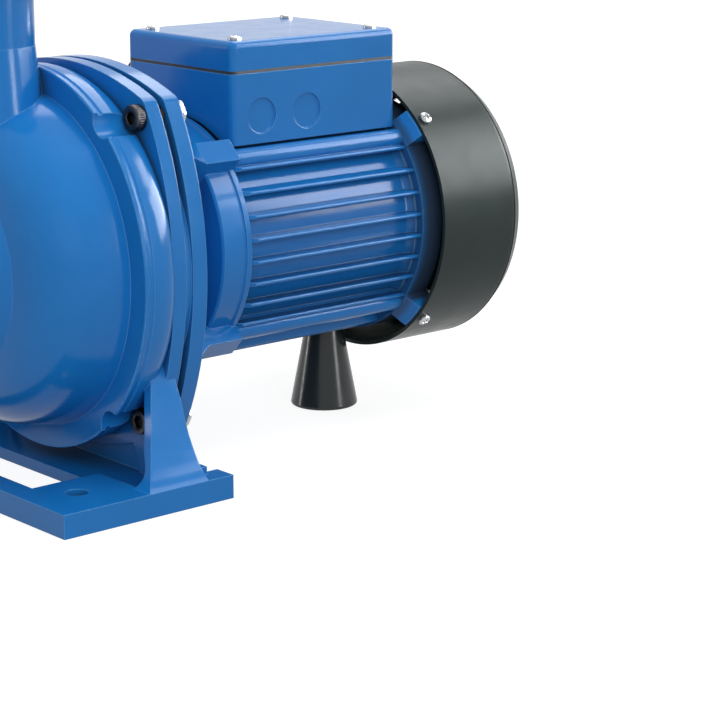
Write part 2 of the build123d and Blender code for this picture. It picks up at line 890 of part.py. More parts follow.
with BuildPart() as fan_cover:
    with BuildSketch(across(cover_front)):
        Circle(cover_radius)
    extrude(amount=cover_length)
    fillet(fan_cover.edges().filter_by(GeomType.CIRCLE).sort_by(Axis.X)[-1], radius=cover_round)
    offset(amount=-cover_wall, openings=fan_cover.faces().sort_by(Axis.X)[0])
    with BuildSketch(across(cover_rear)):
        for ring in range(slot_rings):
            for quarter in (0, 90, 180, 270):
                with BuildLine():
                    CenterArc((0, 0), slot_first_radius + ring * slot_pitch, quarter + 12, 66)
                    offset(amount=slot_half_width)
                make_face()
    extrude(amount=-cover_wall * 2, mode=Mode.SUBTRACT)
save(fan_cover.part, "fan_cover")

with BuildPart() as cover_screws:
    for turn in corners:
        with BuildSketch(radial(turn).rotated((-90, 0, 0)).offset(cover_radius)):
            with Locations((cover_front + cover_screw_inset, 0)):
                Circle(cover_screw_radius)
        extrude(amount=cover_screw_height)
save(cover_screws.part, "cover_screws")

# Terminal box: body with two closed entries, gasket and lid
entry_z = box_skirt_height + entry_rise + entry_radius
gland_z = box_seat_height + 1.4 * box_wall + gland_bore_radius
with BuildPart() as terminal_box:
    with BuildSketch(level(shaft_height + box_skirt_height)):
        with Locations((box_x, 0)):
            RectangleRounded(box_length, box_width, box_corner)
    extrude(amount=box_top_height - box_skirt_height)
    with BuildSketch(sideways(-box_width / 2)):
        with Locations(
            (box_front + entry_inset, entry_z),
            (box_front + entry_inset + entry_spacing, entry_z),
        ):
            Circle(entry_radius)
    extrude(amount=-entry_recess, mode=Mode.SUBTRACT)
    with BuildSketch(level(shaft_height + box_skirt_height)):
        with Locations((box_x, 0)):
            Rectangle(box_length - 2 * box_wall, box_width - 2 * box_wall)
    extrude(amount=box_seat_height - box_skirt_height, mode=Mode.SUBTRACT)
    with BuildSketch(level(shaft_height + box_top_height)):
        with Locations((box_x, 0)):
            RectangleRounded(
                box_length - 2 * box_wall, box_width - 2 * box_wall, box_corner / 2
            )
    extrude(amount=box_seat_height + box_wall - box_top_height, mode=Mode.SUBTRACT)
    with BuildSketch(sideways(box_width / 2 - box_wall)):
        with Locations((box_front + entry_inset, gland_z)):
            Circle(gland_bore_radius)
    extrude(amount=-box_wall, mode=Mode.SUBTRACT)
    with BuildSketch(across(box_front)):
        Circle(frame_radius + frame_flare + barrel_clearance)
    extrude(amount=box_length, mode=Mode.SUBTRACT)
    # Behind the frame the box clears the fan cover too
    with BuildSketch(across(frame_rear)):
        Circle(cover_radius + barrel_clearance)
    extrude(amount=box_length, mode=Mode.SUBTRACT)
save(terminal_box.part, "terminal_box")

with BuildPart() as box_gasket_ring:
    with BuildSketch(level(shaft_height + box_top_height)):
        with Locations((box_x, 0)):
            RectangleRounded(box_length, box_width, box_corner)
            RectangleRounded(
                box_length - 2 * box_wall,
                box_width - 2 * box_wall,
                box_corner / 2,
                mode=Mode.SUBTRACT,
            )
    extrude(amount=box_gasket)
save(box_gasket_ring.part, "box_gasket")

lid_bottom = shaft_height + box_top_height + box_gasket
with BuildPart() as box_lid:
    with BuildSketch(level(lid_bottom)):
        with Locations((box_x, 0)):
            RectangleRounded(box_length, box_width, box_corner)
    extrude(amount=lid_height)
    fillet(box_lid.faces().sort_by(Axis.Z)[-1].edges(), radius=lid_round)
    with BuildSketch(level(lid_bottom)):
        with Locations((box_x, 0)):
            Rectangle(box_length - 2 * box_wall, box_width - 2 * box_wall)
    extrude(amount=lid_height - box_wall, mode=Mode.SUBTRACT)
save(box_lid.part, "box_lid")

with BuildPart() as lid_screws:
    with BuildSketch(level(lid_bottom + lid_height)):
        with Locations((box_x, 0)):
            with GridLocations(
                box_length - 2 * lid_screw_inset, box_width - 2 * lid_screw_inset, 2, 2
            ):
                Circle(lid_screw_radius)
    extrude(amount=lid_screw_height)
save(lid_screws.part, "lid_screws")

# Cable gland on the far side of the box: body, nut and sealing insert
gland_plane = Plane(
    origin=(box_front + entry_inset, box_width / 2, shaft_height + gland_z), z_dir=(0, 1, 0)
)
with BuildPart() as gland_body:
    with BuildSketch(gland_plane):
        Circle(gland_bore_radius)
    extrude(amount=-gland_thread_length)
    with BuildSketch(gland_plane):
        RegularPolygon(gland_across / 2, 6, major_radius=False)
    extrude(amount=gland_collar_length)
    with BuildSketch(gland_plane):
        Circle(gland_neck_radius)
    extrude(amount=gland_collar_length + gland_neck_length)
    with BuildSketch(gland_plane):
        Circle(gland_way_radius)
    extrude(amount=gland_thread_length * 3, both=True, mode=Mode.SUBTRACT)
save(gland_body.part, "gland_body")

seal_plane = gland_plane.offset(gland_collar_length + gland_neck_length)
with BuildPart() as gland_nut:
    with BuildSketch(seal_plane):
        RegularPolygon(gland_nut_across / 2, 6, major_radius=False)
    extrude(amount=gland_nut_length)
    with BuildSketch(seal_plane):
        Circle(gland_seal_radius)
    extrude(amount=gland_nut_length - gland_nut_lip, mode=Mode.SUBTRACT)
    with BuildSketch(seal_plane):
        Circle((gland_seal_radius + cable_radius) / 2)
    extrude(amount=gland_nut_length, mode=Mode.SUBTRACT)
save(gland_nut.part, "gland_nut")

with BuildPart() as gland_seal:
    with BuildSketch(seal_plane):
        Circle(gland_seal_radius)
        Circle(cable_radius, mode=Mode.SUBTRACT)
    extrude(amount=gland_nut_length - gland_nut_lip)
save(gland_seal.part, "gland_seal")

# Rubber cone under the rear of the motor
with BuildPart() as support_foot:
    with BuildSketch(Plane(origin=(support_x, 0, 0), x_dir=(1, 0, 0), z_dir=(0, -1, 0))):
        with BuildLine():
            Polyline(
                (0, 0),
                (support_radius, 0),
                (support_top_radius, support_height),
                (0, support_height),
                close=True,
            )
        make_face()
    revolve(axis=Axis((support_x, 0, 0), (0, 0, 1)))
    fillet(support_foot.edges().filter_by(GeomType.CIRCLE).sort_by(Axis.Z)[0], radius=support_round)
save(support_foot.part, "support_foot")

# Priming and drain plugs on the casing
for name, place in (("priming_plug", plug_rise), ("drain_plug", -plug_rise)):
    with BuildPart() as plug:
        with BuildSketch(across(plug_face)):
            with Locations((0, place)):
                RegularPolygon(plug_across / 2, 6, major_radius=False)
        extrude(amount=-plug_head_height)
        with BuildSketch(across(plug_face)):
            with Locations((0, place)):
                Circle(plug_bore_radius)
        extrude(amount=plug_thread_length)
    save(plug.part, name)
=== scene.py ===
"""Looks of a close-coupled electric centrifugal pump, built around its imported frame."""

import logging
import math
from dataclasses import dataclass
from enum import Enum

import bmesh
import bpy
import numpy as np
from mathutils import Euler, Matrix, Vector

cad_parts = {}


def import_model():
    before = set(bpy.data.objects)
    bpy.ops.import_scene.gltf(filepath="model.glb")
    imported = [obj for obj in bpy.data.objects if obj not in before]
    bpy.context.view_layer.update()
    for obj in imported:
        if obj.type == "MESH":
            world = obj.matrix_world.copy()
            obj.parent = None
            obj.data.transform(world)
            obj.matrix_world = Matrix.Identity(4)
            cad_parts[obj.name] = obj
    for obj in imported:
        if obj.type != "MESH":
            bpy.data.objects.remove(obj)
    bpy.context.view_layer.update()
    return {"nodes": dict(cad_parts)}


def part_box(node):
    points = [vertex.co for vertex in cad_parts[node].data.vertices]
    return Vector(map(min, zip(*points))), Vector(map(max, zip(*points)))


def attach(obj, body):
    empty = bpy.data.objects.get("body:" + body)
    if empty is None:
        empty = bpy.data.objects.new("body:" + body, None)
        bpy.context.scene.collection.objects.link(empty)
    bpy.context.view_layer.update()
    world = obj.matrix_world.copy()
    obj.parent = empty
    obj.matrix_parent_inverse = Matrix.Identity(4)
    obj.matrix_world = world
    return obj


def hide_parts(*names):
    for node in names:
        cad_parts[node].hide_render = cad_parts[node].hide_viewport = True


LOG = logging.getLogger("pump")
MM = 0.001
# Points round a turned piece.
AROUND = 72
# Points that are closer than this, in metres, become one.
MERGE_DISTANCE = 1e-7
# Radius of a hexagon's round end face over its width across flats.
FACE_SHARE = 0.48
BEVEL_SAMPLES = 4
HOLLOW_SAMPLES = 8
# Part of a noise's range that drives roughness.
NOISE_MIDDLE = (0.3, 0.7)
# Cosines of the rounded normal's tilt at which the mask of edges starts and is full.
EDGE_COSINES = (0.985, 0.8)
# Openness at which the mask of painted shade in hollows is full and at which it has gone.
HOLLOW_OPENNESS = (0.1, 0.42)
# Output of a colour mixing node that holds its colour.
MIXED = 2
Node = bpy.types.Node
Triple = tuple[float, float, float]
Colour = Triple
Place = Triple
Rows = tuple["Row", ...]
X_AXIS: Triple = (1.0, 0.0, 0.0)
Y_AXIS: Triple = (0.0, 1.0, 0.0)
Z_AXIS: Triple = (0.0, 0.0, 1.0)
DOWN: Triple = (0.0, 0.0, -1.0)


class Slot(Enum):
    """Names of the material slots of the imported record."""

    CASTING = "painted_casting"
    GASKET = "gasket"
    STEEL = "zinc_steel"
    BRASS = "brass"
    PLASTIC = "black_plastic"


class Flow(Enum):
    """Whether a grid's last row stays open or joins its first as a ring."""

    OPEN = "open"
    RING = "ring"


def corners(node: str) -> tuple[np.ndarray, np.ndarray]:
    """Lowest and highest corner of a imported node.

    Args:
        node: Name of the node.

    Returns:
        Both corners, in millimetres.
    """
    low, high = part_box(node)
    return np.array(low) / MM, np.array(high) / MM


def add_object(name: str, data: bpy.types.ID) -> bpy.types.Object:
    """Make an object and link it to the scene.

    Args:
        name: Name of the object.
        data: Its mesh, lamp or camera.

    Returns:
        The object.
    """
    made = bpy.data.objects.new(name, data)
    bpy.context.scene.collection.objects.link(made)
    return made


@dataclass(frozen=True)
class Axle:
    """Axis on which a turned piece is built, in millimetres."""

    origin: Place
    ahead: Place
    up: Place

    def sweep(self, height: np.ndarray, radius: np.ndarray, angle: np.ndarray) -> np.ndarray:
        """Turn heights, radii and angles into points.

        Each point is the origin, plus the height along the axis, plus the radius times the
        cosine of the angle along up and its sine along the direction square to both.

        Args:
            height: Distance along the axis.
            radius: Distance from the axis.
            angle: Turn about the axis, in radians.

        Returns:
            Points in millimetres, one row of three per entry.
        """
        ahead, up = np.array(self.ahead, float), np.array(self.up, float)
        side = np.cross(ahead, up)
        return (
            np.array(self.origin, float)
            + height[..., None] * ahead
            + (radius * np.cos(angle))[..., None] * up
            + (radius * np.sin(angle))[..., None] * side
        )


@dataclass(frozen=True)
class Row:
    """One ring of a turned piece, in millimetres: round, hexagonal, knurled or threaded."""

    height: float
    radius: float
    across: float = math.inf
    knurl: float = 0.0
    thread: float = 0.0


@dataclass(frozen=True)
class Turning:
    """Turned piece with optional hexagonal, knurled and threaded stretches."""

    rows: Rows
    pitch: float = 1.25
    flutes: int = 36
    around: int = AROUND

    def grid(self, axle: Axle) -> np.ndarray:
        """Carry the rows round the axis.

        The radius at a row and an angle is the row's radius, or the distance to the side of a
        hexagon of that width across flats where that is less. A knurl adds its depth times the
        cosine of the flutes times the angle. A thread adds its depth times a triangle wave of
        the height over the pitch less the share of a turn.

        Args:
            axle: The piece's axis.

        Returns:
            A grid of points, rows by angles.
        """
        table = np.array([(r.height, r.radius, r.across, r.knurl, r.thread) for r in self.rows])
        height, radius, across, knurl, thread = (table[:, i][:, None] for i in range(5))
        angle = np.linspace(0.0, 2.0 * math.pi, self.around, endpoint=False)[None, :]
        flat = 0.5 * across / np.cos((angle + math.pi / 6) % (math.pi / 3) - math.pi / 6)
        phase = (height / self.pitch - angle / (2.0 * math.pi)) % 1.0
        wave = 1.0 - 2.0 * np.abs(2.0 * phase - 1.0)
        reach = np.minimum(radius, flat) + knurl * np.cos(self.flutes * angle) + thread * wave
        return axle.sweep(height + 0.0 * angle, reach, angle + 0.0 * height)


def threaded(
    start: float, stop: float, radius: float, depth: float, pitch: float = 1.25, steps: int = 8
) -> Rows:
    """Rows of a screw thread that fades in and out over half a pitch at its ends.

    The depth at a row is the full depth times the row's distance from the nearer end over half
    a pitch, and never more than the full depth.

    Args:
        start: Height at which the thread starts.
        stop: Height at which it ends.
        radius: Mean radius.
        depth: Half of the thread's height.
        pitch: Advance in one turn.
        steps: Rows to a pitch.

    Returns:
        The rows, lowest first.
    """
    heights = np.linspace(start, stop, max(2, round(abs(stop - start) / pitch * steps) + 1))
    edge = np.minimum(np.abs(heights - start), np.abs(stop - heights)) / (0.5 * pitch)
    depths = depth * np.clip(edge, 0.0, 1.0)
    return tuple(Row(float(h), radius, thread=float(d)) for h, d in zip(heights, depths))


def prism(across: float, start: float, stop: float, near: float = 0.5, far: float = 0.5) -> Rows:
    """Rows of a hexagonal stretch whose corners are eased off at both ends.

    At its ends the radius is half of the corner radius plus half of the distance to a side.
    Between them it has no limit, so that the hexagon alone sets the shape.

    Args:
        across: Width across flats.
        start: Height at which the stretch starts.
        stop: Height at which it ends.
        near: Length of the easing at its start.
        far: Length of the easing at its end.

    Returns:
        Four rows, lowest first.
    """
    eased = 0.5 * across / math.sqrt(3.0) + 0.25 * across
    return (
        Row(start, eased, across),
        Row(start + near, math.inf, across),
        Row(stop - far, math.inf, across),
        Row(stop, eased, across),
    )


@dataclass(frozen=True)
class PanHead:
    """Low domed screw head with a cross recess, in millimetres and in shares of its size."""

    radius: float
    height: float
    sink: float = 0.15
    foot_share: float = 0.96
    rim_share: float = 0.42
    bar_share: float = 0.17
    reach_share: float = 0.6
    recess_share: float = 0.5
    side_slope: float = 0.2
    end_slope: float = 0.4
    dome_rows: int = 22

    def bar(self, a: np.ndarray, b: np.ndarray) -> np.ndarray:
        """One bar of the cross, as a share of its depth.

        The share falls from 1 to 0 over the side slope across a and over the end slope along b.

        Args:
            a: Distance from the bar's middle line.
            b: Distance along it from the screw's axis.

        Returns:
            The share at each point.
        """
        narrow = (self.bar_share * self.radius - np.abs(a)) / self.side_slope + 0.5
        along = (self.reach_share * self.radius - np.abs(b)) / self.end_slope + 0.5
        return np.clip(narrow, 0.0, 1.0) * np.clip(along, 0.0, 1.0)

    def grid(self, axle: Axle) -> np.ndarray:
        """Carry the head round its axis.

        The dome's radius is the cosine and its height the sine of a quarter turn, over a short
        straight rim. The recess lowers the height by its depth times the larger share of its
        two bars.

        Args:
            axle: The screw's axis, pointing out of the seat.

        Returns:
            A grid of points, rows by angles.
        """
        rim, foot = self.rim_share * self.height, [-self.sink, -self.sink, 0.0]
        turn = np.linspace(0.0, math.pi / 2, self.dome_rows)
        heights = np.concatenate([foot, rim + (self.height - rim) * np.sin(turn)])
        below = [0.0, self.foot_share * self.radius, self.radius]
        radii = np.concatenate([below, self.radius * np.cos(turn)])
        angle = np.linspace(0.0, 2.0 * math.pi, AROUND, endpoint=False)[None, :]
        x, y = radii[:, None] * np.cos(angle), radii[:, None] * np.sin(angle)
        top = (np.arange(len(radii)) > len(foot))[:, None]
        depth = self.recess_share * self.height * top
        cut = depth * np.maximum(self.bar(x, y), self.bar(y, x))
        return axle.sweep(heights[:, None] - cut, radii[:, None] + 0.0 * angle, angle + 0.0 * x)


class Shell:
    """Closed surfaces gathered into one mesh object."""

    def __init__(self, name: str) -> None:
        """Start an empty piece.

        Args:
            name: Name of the piece.
        """
        self.name = name
        self.points: list[np.ndarray] = []
        self.faces: list[np.ndarray] = []
        self.count = 0

    def add(self, grid: np.ndarray, flow: Flow = Flow.OPEN) -> None:
        """Add a grid whose columns close round on themselves.

        Args:
            grid: Points in millimetres, rows by columns.
            flow: RING joins the last row to the first, as on a tube's wall.
        """
        rows, columns = grid.shape[:2]
        index = np.arange(rows * columns).reshape(rows, columns) + self.count
        low, high = index[:-1], index[1:]
        if flow is Flow.RING:
            low, high = index, np.roll(index, -1, 0)
        quads = np.stack([low, np.roll(low, -1, 1), np.roll(high, -1, 1), high], -1)
        self.points.append(grid.reshape(-1, 3) * MM)
        self.faces.append(quads.reshape(-1, 4))
        self.count += rows * columns

    def finish(
        self, material: bpy.types.Material, slot: Slot, *nodes: str, sharp_deg: float = 32.0
    ) -> None:
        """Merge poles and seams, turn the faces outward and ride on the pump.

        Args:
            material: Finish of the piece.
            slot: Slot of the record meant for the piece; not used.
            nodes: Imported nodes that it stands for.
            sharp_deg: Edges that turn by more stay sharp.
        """
        mesh = bpy.data.meshes.new(self.name)
        points, faces = np.concatenate(self.points), np.concatenate(self.faces)
        mesh.from_pydata(points.tolist(), [], faces.tolist())
        work = bmesh.new()
        work.from_mesh(mesh)
        bmesh.ops.remove_doubles(work, verts=work.verts, dist=MERGE_DISTANCE)
        bmesh.ops.recalc_face_normals(work, faces=work.faces)
        work.to_mesh(mesh)
        work.free()
        mesh.shade_smooth()
        mesh.set_sharp_from_angle(angle=math.radians(sharp_deg))
        mesh.materials.append(material)
        piece = add_object(self.name, mesh)
        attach(piece, "root")
        if nodes:
            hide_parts(*nodes)
        LOG.info("built %s: %d faces", self.name, len(mesh.polygons))


def empty_tree(owner: bpy.types.Material | bpy.types.World) -> bpy.types.NodeTree:
    """Give a material or a world an empty node tree.

    Args:
        owner: The material or the world.

    Returns:
        Its tree.
    """
    owner.use_nodes = True
    owner.node_tree.nodes.clear()
    return owner.node_tree


@dataclass(frozen=True)
class PaintedCoverShadow:
    """Painted shadow of the fan cover: darkening along the shaft up to the cover's front edge, in
    metres.
    """

    edge: float
    shaft_height: float
    length: float = 0.013
    radius: float = 0.0725
    fade: float = 0.003
    most: float = 0.95


class NodeSheet:
    """Small helper that lays out and links the nodes of one material."""

    def __init__(self, name: str) -> None:
        """Start an empty material.

        Args:
            name: Name of the material.
        """
        self.material = bpy.data.materials.new(name)
        self.tree = empty_tree(self.material)
        self.shader = self.new("BsdfPrincipled")
        self.link(self.shader, "BSDF", self.new("OutputMaterial"), "Surface")
        self.coords = self.new("TexCoord")

    def new(self, kind: str, **values: float | Triple) -> Node:
        """Add a node.

        Args:
            kind: Its type, without the ShaderNode at the start.
            values: Values of its inputs.

        Returns:
            The node.
        """
        node = self.tree.nodes.new("ShaderNode" + kind)
        for name, value in values.items():
            node.inputs[name].default_value = value
        return node

    def link(self, a: Node, a_out: str | int, b: Node, b_in: str | int) -> None:
        """Join one node's output to another's input."""
        self.tree.links.new(a.outputs[a_out], b.inputs[b_in])

    def noise(
        self, scale: float, detail: float, roughness: float, stretch: Triple = (1.0, 1.0, 1.0)
    ) -> Node:
        """Noise on Object coordinates.

        Args:
            scale: Cells per metre.
            detail: Octaves of finer noise.
            roughness: Weight of the finer octaves.
            stretch: Scale of the pattern along each axis.

        Returns:
            The noise node, whose Fac output runs from 0 to 1.
        """
        mapping = self.new("Mapping", Scale=stretch)
        self.link(self.coords, "Object", mapping, "Vector")
        node = self.new("TexNoise", Scale=scale, Detail=detail, Roughness=roughness)
        self.link(mapping, 0, node, "Vector")
        return node

    def ramp(self, source: Node, stops: tuple[float, float], colours: tuple[Colour, Colour]) -> Node:
        """Colour ramp fed by a noise.

        Args:
            source: The noise node.
            stops: Positions of the two stops, lowest first.
            colours: Their colours.

        Returns:
            The ramp node.
        """
        node = self.new("ValToRGB")
        for element, place, colour in zip(node.color_ramp.elements, stops, colours):
            element.position = place
            element.color = (*colour, 1.0)
        self.link(source, "Fac", node, "Fac")
        return node

    def value_range(
        self, source: Node, output: str, low: float, high: float, start: float, stop: float
    ) -> Node:
        """Map a node's output from start..stop to low..high.

        Args:
            source: Node that is read.
            output: Its output.
            low: Value given at start.
            high: Value given at stop.
            start: Where the range starts.
            stop: Where it stops.

        Returns:
            The node, whose Result output holds the value.
        """
        limits = {"From Min": start, "From Max": stop, "To Min": low, "To Max": high}
        node = self.new("MapRange", **limits)
        self.link(source, output, node, "Value")
        return node

    def roughen(self, scale: float, mean: float, spread: tuple[float, float]) -> None:
        """Drive the shader's roughness by the middle part of a noise.

        Args:
            scale: Cells of the noise per metre.
            mean: Roughness from which the spread is counted.
            spread: What is taken off at the low end, and added at the high end.
        """
        patches = self.noise(scale, detail=5.0, roughness=0.6)
        rough = self.value_range(patches, "Fac", mean - spread[0], mean + spread[1], *NOISE_MIDDLE)
        self.link(rough, "Result", self.shader, "Roughness")

    def bump(self, source: Node, strength: float, distance: float, onto: Node | None = None) -> Node:
        """Bump from a noise, laid over an earlier normal where one is given.

        Args:
            source: The noise node.
            strength: Strength of the bump.
            distance: Height of the bump in metres.
            onto: Node whose Normal output lies below.

        Returns:
            The bump node.
        """
        node = self.new("Bump", Strength=strength, Distance=distance)
        self.link(source, "Fac", node, "Height")
        if onto is not None:
            self.link(onto, "Normal", node, "Normal")
        return node

    def rounding(self, radius: float) -> Node:
        """Normal that rounds sharp edges.

        Args:
            radius: Radius of the rounding in metres.

        Returns:
            The node, whose Normal output holds it.
        """
        node = self.new("Bevel", Radius=radius)
        node.samples = BEVEL_SAMPLES
        return node

    def edges(self, rounded: Node, most: float) -> Node:
        """Mask of edges for the lighter edge tint, partly worn paint and partly a painted highlight,
        from how far the rounded normal leaves the plain one.

        Args:
            rounded: Node that rounds the normal.
            most: Value at an edge; a face has 0.

        Returns:
            The node, whose Result output holds the mask.
        """
        plain = self.new("NewGeometry")
        dot = self.new("VectorMath")
        dot.operation = "DOT_PRODUCT"
        self.link(rounded, "Normal", dot, 0)
        self.link(plain, "True Normal", dot, 1)
        return self.value_range(dot, "Value", 0.0, most, *EDGE_COSINES)

    def hollows(self, reach: float, most: float) -> Node:
        """Mask of painted shade in hollows, from how much of the view around a place walls close in.

        Args:
            reach: Distance at which a wall still counts, in metres.
            most: Value in a closed hollow; an open place has 0.

        Returns:
            The node, whose Result output holds the mask.
        """
        node = self.new("AmbientOcclusion", Distance=reach)
        node.samples = HOLLOW_SAMPLES
        return self.value_range(node, "AO", most, 0.0, *HOLLOW_OPENNESS)

    def arithmetic(self, operation: str, a: Node, b: Node) -> Node:
        """Join two nodes' first outputs.

        Args:
            operation: Operation on two numbers, such as MAXIMUM.
            a: First node.
            b: Second node.

        Returns:
            The node, whose first output holds the result.
        """
        node = self.new("Math")
        node.operation = operation
        self.link(a, 0, node, 0)
        self.link(b, 0, node, 1)
        return node

    def drift(self, painted_cover_shadow: PaintedCoverShadow) -> Node:
        """Mask of the fan cover's painted shadow: it rises along the shaft up to an edge and stops at a
        radius from it.

        Args:
            painted_cover_shadow: Where the mask lies.

        Returns:
            The node, whose first output holds the mask.
        """
        split = self.new("SeparateXYZ")
        self.link(self.coords, "Object", split, 0)
        along = self.value_range(split, "X", 0.0, painted_cover_shadow.most, painted_cover_shadow.edge - painted_cover_shadow.length, painted_cover_shadow.edge)
        along.interpolation_type = "SMOOTHSTEP"
        across = self.new("Mapping", Location=(0.0, 0.0, -painted_cover_shadow.shaft_height), Scale=(0.0, 1.0, 1.0))
        self.link(self.coords, "Object", across, "Vector")
        length = self.new("VectorMath")
        length.operation = "LENGTH"
        self.link(across, 0, length, 0)
        inside = self.value_range(length, "Value", 1.0, 0.0, painted_cover_shadow.radius - painted_cover_shadow.fade, painted_cover_shadow.radius)
        return self.arithmetic("MULTIPLY", along, inside)

    def blend(self, factor: Node, low: Node, low_out: str | int, high: Colour) -> Node:
        """Mix a node's colour towards a fixed colour.

        Args:
            factor: Node whose first output is the share of the fixed colour.
            low: Node that holds the other colour.
            low_out: Its output.
            high: The fixed colour.

        Returns:
            The mixing node, whose output number MIXED holds the colour.
        """
        node = self.new("Mix")
        node.data_type = "RGBA"
        self.link(factor, 0, node, 0)
        colours = [socket for socket in node.inputs if socket.type == "RGBA"]
        self.tree.links.new(low.outputs[low_out], colours[0])
        colours[1].default_value = (*high, 1.0)
        return node


@dataclass(frozen=True)
class Enamel:
    """Baked enamel over a casting: faintly wavy, lighter at edges where paint wears away and a painted
    highlight runs, with painted shade darkening its hollows and, where given, the stretch next to the
    fan cover.
    """

    name: str
    colour: Colour
    shade: Colour
    # Lighter edge tint: partly worn paint, partly a painted highlight.
    edge_highlight_tint: Colour
    wave_depth: float = 0.00005
    painted_cover_shadow: PaintedCoverShadow | None = None
    # Colour of the painted shade in hollows and of the fan cover's painted shadow.
    painted_shade_colour: Colour = (0.028, 0.042, 0.068)
    hollow_shade_share: float = 0.75
    recess: float = 0.03
    cloud_scale: float = 16.0
    cloud_stops: tuple[float, float] = (0.3, 0.64)
    rough: float = 0.15
    rough_spread: tuple[float, float] = (0.02, 0.05)
    rough_scale: float = 75.0
    wave_scale: float = 110.0
    peel_scale: float = 420.0
    peel_depth: float = 0.000006
    edge_radius: float = 0.0008
    edge_highlight_share: float = 0.8
    specular: float = 0.21

    def build(self) -> bpy.types.Material:
        """Build the finish.

        Returns:
            The finished material.
        """
        s = NodeSheet(self.name)
        cloud = s.noise(self.cloud_scale, detail=5.0, roughness=0.6)
        tint = s.ramp(cloud, self.cloud_stops, (self.shade, self.colour))
        rounded = s.rounding(self.edge_radius)
        # Lighter edges: partly worn paint, partly a painted highlight line along each edge.
        highlit_coat = s.blend(s.edges(rounded, self.edge_highlight_share), tint, "Color", self.edge_highlight_tint)
        # Painted shade: hollows darken by ambient occlusion, and where given, the frame darkens towards
        # the fan cover as its painted shadow.
        painted_shade = s.hollows(self.recess, self.hollow_shade_share)
        if self.painted_cover_shadow is not None:
            painted_shade = s.arithmetic("MAXIMUM", painted_shade, s.drift(self.painted_cover_shadow))
        shaded_coat = s.blend(painted_shade, highlit_coat, MIXED, self.painted_shade_colour)
        s.link(shaded_coat, MIXED, s.shader, "Base Color")
        s.roughen(self.rough_scale, self.rough, self.rough_spread)
        waves = s.noise(self.wave_scale, detail=3.0, roughness=0.45)
        wave = s.bump(waves, strength=0.5, distance=self.wave_depth, onto=rounded)
        pores = s.noise(self.peel_scale, detail=2.0, roughness=0.5)
        peel = s.bump(pores, strength=0.5, distance=self.peel_depth, onto=wave)
        s.link(peel, "Normal", s.shader, "Normal")
        s.shader.inputs["Specular IOR Level"].default_value = self.specular
        return s.material


@dataclass(frozen=True)
class Moulding:
    """Moulded plastic, rubber or board with a fine grain and a slight drift of colour."""

    name: str
    colour: Colour
    shade: Colour
    rough: float
    specular: float = 0.5
    cloud_scale: float = 24.0
    cloud_stops: tuple[float, float] = (0.3, 0.68)
    rough_spread: tuple[float, float] = (0.04, 0.06)
    rough_scale: float = 90.0
    grain_scale: float = 480.0
    grain_depth: float = 0.00001

    def build(self) -> bpy.types.Material:
        """Build the finish.

        Returns:
            The finished material.
        """
        s = NodeSheet(self.name)
        cloud = s.noise(self.cloud_scale, detail=6.0, roughness=0.65)
        tint = s.ramp(cloud, self.cloud_stops, (self.shade, self.colour))
        s.link(tint, "Color", s.shader, "Base Color")
        s.roughen(self.rough_scale, self.rough, self.rough_spread)
        grains = s.noise(self.grain_scale, detail=2.0, roughness=0.5)
        grain = s.bump(grains, strength=0.4, distance=self.grain_depth)
        s.link(grain, "Normal", s.shader, "Normal")
        s.shader.inputs["Specular IOR Level"].default_value = self.specular
        return s.material


@dataclass(frozen=True)
class Metal:
    """Bare or plated metal with turning marks and a little dulling."""

    name: str
    colour: Colour
    dull: Colour
    rough: float
    cloud_scale: float = 90.0
    cloud_stops: tuple[float, float] = (0.3, 0.65)
    rough_spread: tuple[float, float] = (0.07, 0.1)
    rough_scale: float = 160.0
    mark_scale: float = 700.0
    mark_depth: float = 0.000015
    mark_stretch: Triple = (6.0, 1.0, 1.0)
    edge_radius: float = 0.0003

    def build(self) -> bpy.types.Material:
        """Build the finish.

        Returns:
            The finished material.
        """
        s = NodeSheet(self.name)
        cloud = s.noise(self.cloud_scale, detail=5.0, roughness=0.65)
        tint = s.ramp(cloud, self.cloud_stops, (self.dull, self.colour))
        s.link(tint, "Color", s.shader, "Base Color")
        s.shader.inputs["Metallic"].default_value = 1.0
        s.roughen(self.rough_scale, self.rough, self.rough_spread)
        rounded = s.rounding(self.edge_radius)
        marks = s.noise(self.mark_scale, detail=2.0, roughness=0.5, stretch=self.mark_stretch)
        turned = s.bump(marks, strength=0.3, distance=self.mark_depth, onto=rounded)
        s.link(turned, "Normal", s.shader, "Normal")
        return s.material


